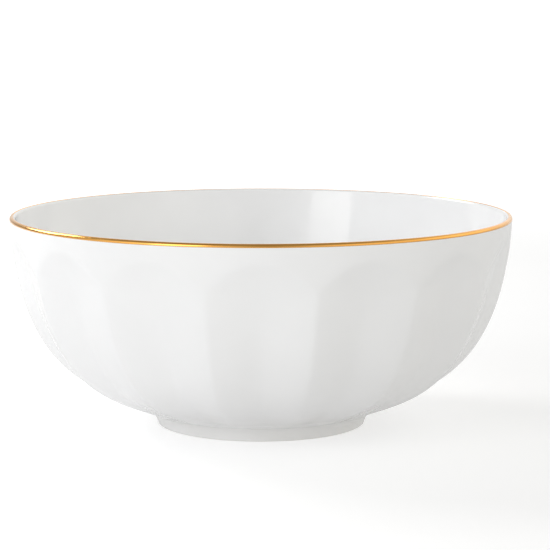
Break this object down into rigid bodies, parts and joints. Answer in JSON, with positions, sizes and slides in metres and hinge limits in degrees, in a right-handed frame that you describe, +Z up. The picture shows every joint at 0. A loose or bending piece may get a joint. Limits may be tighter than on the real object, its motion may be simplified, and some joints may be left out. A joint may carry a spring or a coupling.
{
  "type": "serving bowl",
  "caption": "Deep round serving bowl with scooped, arch-topped flutes, a plain band under a gilt lip, and a low foot ring.",
  "frame": {"origin": "centre of the plane that the foot ring stands on", "axes": "+Z up along the bowl's axis, -Y the front, where one flute faces squarely out, +X to the right seen from the front"},
  "size_m": [0.235, 0.235, 0.099],
  "materials": {
    "body_glaze": "gloss",
    "foot_glaze": "gloss",
    "gilding": "polished"
  },
  "bodies": {
    "root": {"bowl_body": "body_glaze", "foot_ring": "foot_glaze", "gilt_band": "gilding"}
  },
  "joints": []
}
